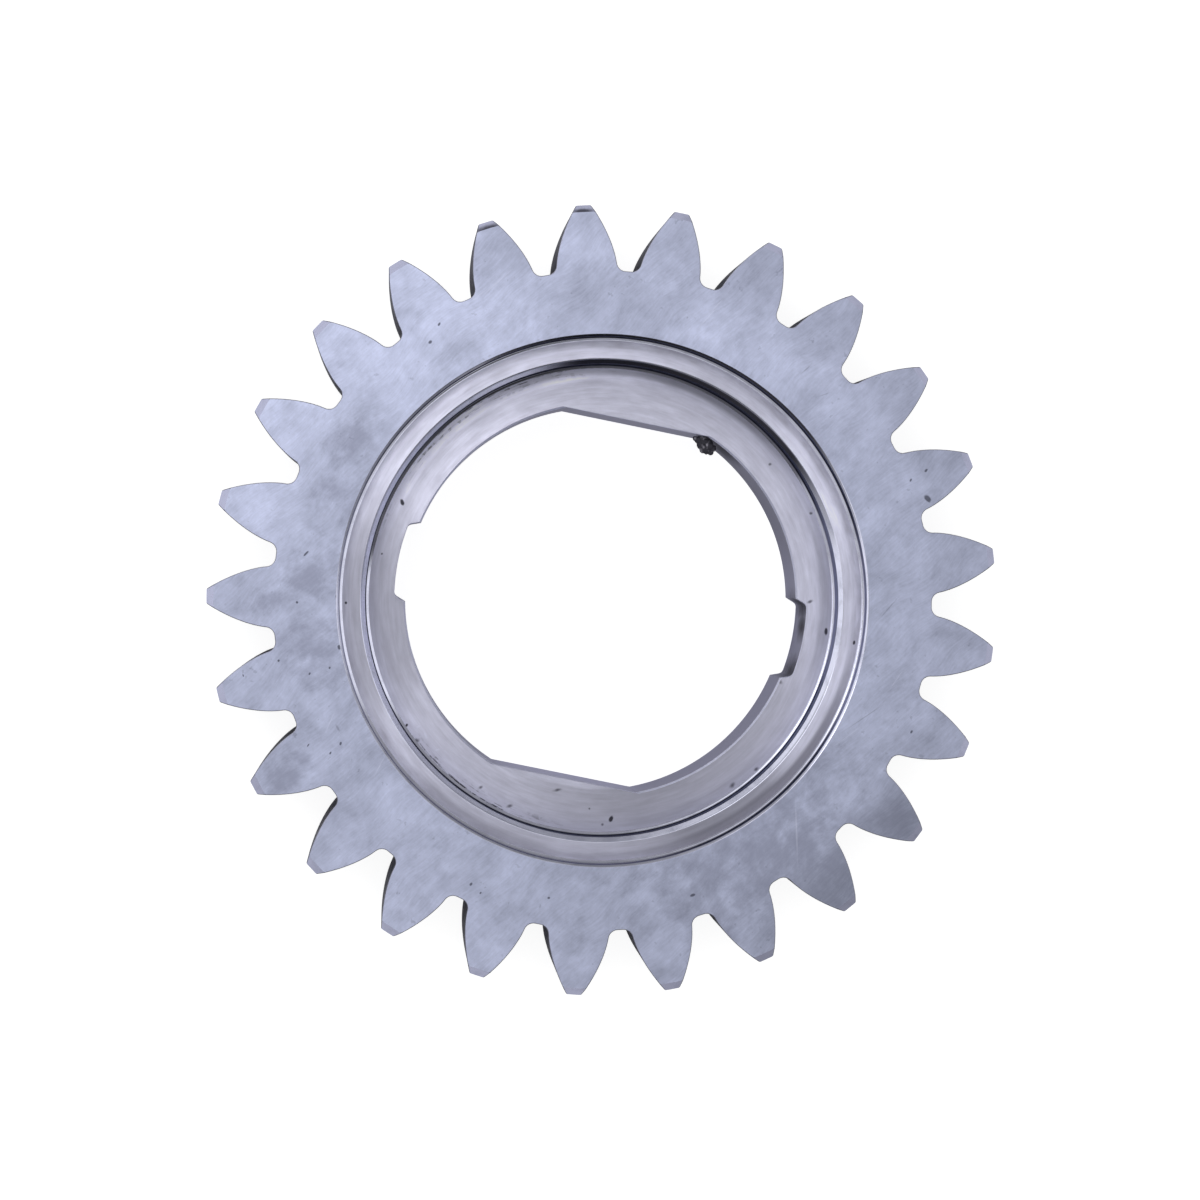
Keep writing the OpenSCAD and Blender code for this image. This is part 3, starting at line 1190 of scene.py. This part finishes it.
def teeth_about_axis_tree():
    """Repeats one sector about Z, joins the core to it and sets each finish."""
    tree = bpy.data.node_groups.new("Teeth About Axis", "GeometryNodeTree")
    sockets = {"Geometry": "Geometry", "Teeth": "Int", "Core": "Object", "Merge Distance": "Float"}
    sockets.update({name: "Material" for name in FINISHES})
    for name, kind in sockets.items():
        tree.interface.new_socket(name, in_out="INPUT", socket_type="NodeSocket" + kind)
    tree.interface.new_socket("Geometry", in_out="OUTPUT", socket_type="NodeSocketGeometry")
    given = {output.name: Value(output) for output in add_node(tree, "NodeGroupInput").outputs}

    line = {"Count": given["Teeth"], "Offset": (0.0, 0.0, 0.0)}
    centres = made_by("GeometryNodeMeshLine", line, mode="OFFSET")
    index = Value(add_node(tree, "GeometryNodeInputIndex").outputs[0])
    turn = made_by("ShaderNodeCombineXYZ", {"Z": index * (2 * math.pi / given["Teeth"])})
    repeats = {"Points": centres, "Instance": given["Geometry"], "Rotation": turn}
    core = {"Object": given["Core"]}
    parts = [
        made_by("GeometryNodeInstanceOnPoints", repeats),
        made_by("GeometryNodeObjectInfo", core, "Geometry", transform_space="ORIGINAL"),
    ]
    whole = add_node(tree, "GeometryNodeJoinGeometry")
    for part in parts:
        feed(whole, 0, part)
    real = made_by("GeometryNodeRealizeInstances", {0: Value(whole.outputs[0])})
    merge = {"Geometry": real, "Distance": given["Merge Distance"]}
    geometry = made_by("GeometryNodeMergeByDistance", merge)

    attribute = {"Name": FINISH_ATTRIBUTE}
    finish = add_node(tree, "GeometryNodeInputNamedAttribute", attribute, data_type="INT")
    for number, name in enumerate(FINISHES):
        pair = {2: Value(finish.outputs[0]), 3: number}
        chosen = made_by("FunctionNodeCompare", pair, data_type="INT", operation="EQUAL")
        painted = {"Geometry": geometry, "Selection": chosen, "Material": given[name]}
        geometry = made_by("GeometryNodeSetMaterial", painted)
    add_node(tree, "NodeGroupOutput", {"Geometry": geometry})
    return tree


def new_object(name, mesh):
    """An object at the origin, linked to the scene."""
    made = bpy.data.objects.new(name, mesh)
    bpy.context.scene.collection.objects.link(made)
    return made


def applied(target, modifier):
    """Keeps what a modifier makes of an object as its plain mesh."""
    depsgraph = bpy.context.evaluated_depsgraph_get()
    made = bpy.data.meshes.new_from_object(target.evaluated_get(depsgraph))
    target.modifiers.remove(modifier)
    target.data = made


def run_tree(target, tree, values):
    """Runs a geometry node tree on an object and keeps its result."""
    modifier = target.modifiers.new(tree.name, "NODES")
    modifier.node_group = tree
    for item in tree.interface.items_tree:
        if item.in_out == "INPUT" and item.name in values:
            modifier[item.identifier] = values[item.name]
    applied(target, modifier)


class PUMPGEAR_OT_gear_body(bpy.types.Operator):
    """Build the toothed body with its recess and bore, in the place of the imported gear"""

    bl_idname = "pump_gear.gear_body"
    bl_label = "Gear Body"

    def execute(self, context):
        scene = context.scene
        groups = shared_groups()
        materials = [maker(groups, scene.gear_colours) for maker in FINISH_MAKERS]
        body = new_object("gear_body", tooth_sector_mesh(scene.gear_teeth, scene.gear_blank))
        core = new_object("gear_core", core_mesh(scene.gear_teeth, scene.gear_blank))
        values = {
            "Teeth": scene.gear_teeth.teeth,
            "Core": core,
            "Merge Distance": MERGE_DISTANCE,
        }
        values.update(zip(FINISHES, materials))
        run_tree(body, teeth_about_axis_tree(), values)
        bpy.data.objects.remove(core)
        body.data.name = "gear_body"
        body.data.shade_smooth()
        body.data.set_sharp_from_angle(angle=SHARP_ANGLE)
        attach(body, "root")
        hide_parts(NODE)
        return {"FINISHED"}


# A crumb of grit and burr stuck under the corner of a flat: millimetres right and up of
# the axis in the picture, height above the back face and radius of each lump
GRIT_LUMPS = [
    (13.2, 22.3, 13.7, 0.4),
    (13.6, 22.2, 13.6, 0.6),
    (14.4, 22.0, 13.6, 0.75),
    (13.9, 21.5, 13.5, 0.6),
    (14.3, 20.95, 13.4, 0.55),
    (15.0, 21.5, 13.6, 0.7),
    (14.9, 20.9, 13.4, 0.55),
    (15.3, 20.45, 13.3, 0.38),
    (14.7, 20.55, 13.3, 0.35),
    (15.6, 21.0, 13.5, 0.45),
]
GRIT_VOXEL = 0.07 * MM
GRIT_ROUGHNESS = 0.14 * MM
GRIT_NOISE = 1500.0
GRIT_GRAIN = 1400.0
# Roughness exponent, lacunarity and octaves of its relief
GRIT_FRACTAL = (0.8, 2.0, 4)


def grit_material(colours):
    """Dark, dull grit."""
    grit = Finish("Grit", colours.dirt, 0.75, metallic=0.0)
    grit.feed("Specular IOR Level", 0.15)
    grain = grit.noise(GRIT_GRAIN)
    grit.cover(stepped(grain, 0.54, 0.72), colours.grease)
    grit.bump(grain, GRIT_RELIEF)
    return grit.done()


class PUMPGEAR_OT_bore_grit(bpy.types.Operator):
    """Build the crumb of grit that clings to the corner of one flat"""

    bl_idname = "pump_gear.bore_grit"
    bl_label = "Bore Grit"

    def execute(self, context):
        shape = bmesh.new()
        for right_mm, up_mm, height_mm, radius_mm in GRIT_LUMPS:
            place = Matrix.Translation(picture_place(right_mm, up_mm, height_mm * MM))
            bmesh.ops.create_icosphere(shape, subdivisions=3, radius=radius_mm * MM, matrix=place)
        mesh = bpy.data.meshes.new("bore_grit")
        shape.to_mesh(mesh)
        shape.free()
        grit = new_object("bore_grit", mesh)
        remesh = grit.modifiers.new("Fuse", "REMESH")
        remesh.mode = "VOXEL"
        remesh.voxel_size = GRIT_VOXEL
        applied(grit, remesh)
        for vertex in grit.data.vertices:
            push = noise.fractal(vertex.co * GRIT_NOISE, *GRIT_FRACTAL)
            vertex.co += vertex.normal * push * GRIT_ROUGHNESS
        grit.data.shade_smooth()
        grit.data.materials.append(grit_material(context.scene.gear_colours))
        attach(grit, "root")
        return {"FINISHED"}


# The stage. The chamfers mirror the dome near its horizon and the turned rings mirror it
# higher up, so it has a light level for each picture direction in both places.
HORIZON_LEVELS = {
    0: 0.72, 20: 0.9, 45: 0.62, 90: 0.6, 110: 1.1, 150: 1.6, 180: 1.75, 196: 0.72,
    206: 0.38, 222: 0.52, 252: 0.34, 270: 0.12, 282: 0.14, 298: 0.8, 315: 0.45, 335: 0.7,
}
CEILING_LEVELS = {
    0: 1.0, 30: 1.45, 60: 1.2, 90: 1.7, 120: 2.8, 150: 1.8,
    178: 0.38, 210: 1.75, 240: 0.55, 270: 0.7, 300: 0.05, 330: 0.6,
}
ZENITH_LEVEL = 1.05
# Shares of the dome's height between which its horizon, its ceiling and its zenith blend
HORIZON_BLEND = (0.3, 0.62)
ZENITH_BLEND = (0.985, 0.999)
DOME_RADIUS = 1.2
DOME_SEGMENTS = 72
DOME_RINGS = 18
FLOOR_SIZE = 8.0
FLOOR_DROP = 0.05 * MM
FLOOR_COLOUR = (0.4, 0.4, 0.4)
FLOOR_GLOW_SEEN = 0.86
# What the steel mirrors of the floor: a pool of light in the bore, and the room beyond
POOL_GLOW = 0.3
POOL_EDGE = (26 * MM, 31 * MM)
ROOM_GLOW = 0.2
ROOM_EDGE = (80 * MM, 160 * MM)
SKY_LEVEL = 0.7
WINDOW_ENERGY = 2.2
WINDOW_SIZE = 0.7
WINDOW_PLACE = (-420, 420, 900)
SENSOR_WIDTH = 36.0
WHITE = (1.0, 1.0, 1.0)


def light_path_glow(tree, seen, mirrored):
    """A strength for rays from the camera, and one for mirrored and transmitted rays."""
    rays = named_outputs(add_node(tree, "ShaderNodeLightPath"))
    passed = rays["is_glossy_ray"] + rays["is_transmission_ray"]
    return passed * mirrored + rays["is_camera_ray"] * seen


def floor_material():
    """A pale floor that keeps the gear's shadow and shows white to the camera."""
    floor = Finish("Pale Floor", FLOOR_COLOUR, 1.0, metallic=0.0)
    floor.feed("Specular IOR Level", 0.0)
    floor.feed("Emission Color", WHITE)
    far = length_of(floor.place)
    mirrored = stepped(far, *POOL_EDGE, POOL_GLOW, 0.0) + stepped(far, *ROOM_EDGE, 0.0, ROOM_GLOW)
    floor.feed("Emission Strength", light_path_glow(floor.tree, FLOOR_GLOW_SEEN, mirrored))
    return floor.done()


def level_ramp(share, levels):
    """A smooth ramp through light levels that are given by picture direction in degrees."""
    ramp = add_node(share.tree, "ShaderNodeValToRGB", {"Fac": share})
    ramp.color_ramp.interpolation = "CARDINAL"
    stops = [(degrees / 360, level) for degrees, level in levels.items()]
    stops.append((1.0, levels[0]))
    elements = ramp.color_ramp.elements
    elements[0].position = stops[0][0]
    elements[1].position = stops[-1][0]
    for position, _ in stops[1:-1]:
        elements.new(position)
    for element, (_, level) in zip(elements, stops):
        element.color = (level, level, level, 1.0)
    return Value(ramp.outputs[0])


def dome_material():
    """The studio as the steel mirrors it: levels round the horizon and a soft ceiling."""
    material = bpy.data.materials.new("Studio Dome")
    material.use_nodes = True
    tree = material.node_tree
    tree.nodes.clear()
    place = Value(add_node(tree, "ShaderNodeTexCoord").outputs["Object"])
    x, y, z = parts_of(place)
    turn = sums("ARCTAN2", y, x) - picture_direction(0)
    share = sums("FRACT", turn / (2 * math.pi))
    horizon = level_ramp(share, HORIZON_LEVELS)
    ceiling = level_ramp(share, CEILING_LEVELS)
    height = z / DOME_RADIUS
    level = blended(stepped(height, *HORIZON_BLEND), horizon, ceiling)
    level = blended(stepped(height, *ZENITH_BLEND), level, (ZENITH_LEVEL,) * 3)
    glow = made_by("ShaderNodeEmission", {"Color": level})
    add_node(tree, "ShaderNodeOutputMaterial", {"Surface": glow})
    return material


def dome_mesh():
    """Half a ball over the gear, facing inwards."""
    turns = [2 * math.pi * i / DOME_SEGMENTS for i in range(DOME_SEGMENTS)]
    loops = []
    for ring in range(DOME_RINGS + 1):
        rise = math.pi / 2 * ring / DOME_RINGS
        radius = max(DOME_RADIUS * math.cos(rise), MERGE_DISTANCE)
        height = DOME_RADIUS * math.sin(rise)
        loops.append([lifted(at_angle(radius, turn), height) for turn in turns])
    return bridged_mesh("studio_dome", loops, lambda strip, i: 0, closed=True)


class PUMPGEAR_OT_stage(bpy.types.Operator):
    """Set up the camera, the pale floor, the soft lights and the studio dome"""

    bl_idname = "pump_gear.stage"
    bl_label = "Stage"

    def execute(self, context):
        scene = context.scene
        scene.view_settings.view_transform = "Standard"
        self.add_camera(scene)
        self.add_floor()
        self.add_dome()
        self.add_sky(scene)
        self.add_window(scene)
        return {"FINISHED"}

    def add_camera(self, scene):
        """Places the camera over the front face, off to the picture's left."""
        place = scene.gear_camera
        face_z = scene.gear_blank.face_width
        foot = at_angle(place.foot_distance, place.foot_direction)
        eye = lifted(foot, face_z + place.height)
        aim = picture_place(place.aim_right / MM, place.aim_up / MM, face_z)
        up = lifted(at_angle(1, place.picture_up), 0)
        back = (eye - aim).normalized()
        right = up.cross(back).normalized()
        upward = back.cross(right)
        data = bpy.data.cameras.new("camera")
        data.sensor_width = SENSOR_WIDTH
        data.lens = SENSOR_WIDTH * (eye - aim).length / place.framed_height
        camera = new_object("camera", data)
        turned = Matrix((right, upward, back)).transposed().to_4x4()
        camera.matrix_world = Matrix.Translation(eye) @ turned
        scene.camera = camera

    def add_floor(self):
        """Lays the floor under the back face."""
        half = FLOOR_SIZE / 2
        corners = [(-half, -half), (half, -half), (half, half), (-half, half)]
        mesh = bpy.data.meshes.new("floor")
        mesh.from_pydata([(x, y, -FLOOR_DROP) for x, y in corners], [], [(0, 1, 2, 3)])
        mesh.materials.append(floor_material())
        new_object("floor", mesh)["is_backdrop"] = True

    def add_dome(self):
        """Sets the dome, which only mirrored rays see."""
        mesh = dome_mesh()
        mesh.materials.append(dome_material())
        dome = new_object("studio_dome", mesh)
        for rays in ("camera", "diffuse", "transmission", "volume_scatter", "shadow"):
            setattr(dome, "visible_" + rays, False)
        dome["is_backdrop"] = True

    def add_sky(self, scene):
        """Lights the scene softly from all sides, white to the camera."""
        world = bpy.data.worlds.new("Soft Sky")
        world.use_nodes = True
        background = world.node_tree.nodes["Background"]
        feed(background, "Color", WHITE)
        extra = light_path_glow(world.node_tree, 1.0 - SKY_LEVEL, 1.0 - SKY_LEVEL)
        feed(background, "Strength", extra + SKY_LEVEL)
        scene.world = world

    def add_window(self, scene):
        """Adds the soft lamp at the picture's upper left."""
        right_mm, up_mm, height_mm = WINDOW_PLACE
        data = bpy.data.lights.new("window", "AREA")
        data.shape = "SQUARE"
        data.size = WINDOW_SIZE
        data.energy = WINDOW_ENERGY
        lamp = new_object("window", data)
        lamp.location = picture_place(right_mm, up_mm, height_mm * MM)
        lamp.rotation_euler = lamp.location.to_track_quat("Z", "Y").to_euler()


class PUMPGEAR_PT_sidebar(bpy.types.Panel):
    """Lists the sizes, the colours and the steps that build the gear"""

    bl_idname = "PUMPGEAR_PT_sidebar"
    bl_label = "Pump Drive Gear"
    bl_space_type = "VIEW_3D"
    bl_region_type = "UI"
    bl_category = "Drive Gear"

    def draw(self, context):
        for settings in SETTINGS:
            box = self.layout.box()
            values = getattr(context.scene, settings)
            for name in values.bl_rna.properties.keys():
                if name not in ("rna_type", "name"):
                    box.prop(values, name)
        for step in STEPS:
            self.layout.operator(step.bl_idname)


SETTINGS = {
    "gear_teeth": ToothSizes,
    "gear_blank": BlankSizes,
    "gear_colours": SteelColours,
    "gear_camera": CameraPlace,
}
STEPS = [PUMPGEAR_OT_stage, PUMPGEAR_OT_gear_body, PUMPGEAR_OT_bore_grit]


def register():
    """Registers the settings, the steps and the panel."""
    for name, settings in SETTINGS.items():
        bpy.utils.register_class(settings)
        setattr(bpy.types.Scene, name, bpy.props.PointerProperty(type=settings))
    for step in STEPS:
        bpy.utils.register_class(step)
    bpy.utils.register_class(PUMPGEAR_PT_sidebar)


def unregister():
    """Removes what register added."""
    bpy.utils.unregister_class(PUMPGEAR_PT_sidebar)
    for step in reversed(STEPS):
        bpy.utils.unregister_class(step)
    for name, settings in reversed(SETTINGS.items()):
        delattr(bpy.types.Scene, name)
        bpy.utils.unregister_class(settings)


def main():
    """Builds the stage and the gear, and notes the box after."""
    register()
    bpy.ops.pump_gear.stage()
    bpy.ops.pump_gear.gear_body()
    bpy.ops.pump_gear.bore_grit()
    made_box = [list(corner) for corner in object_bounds()]


if __name__ == "__main__":
    main()
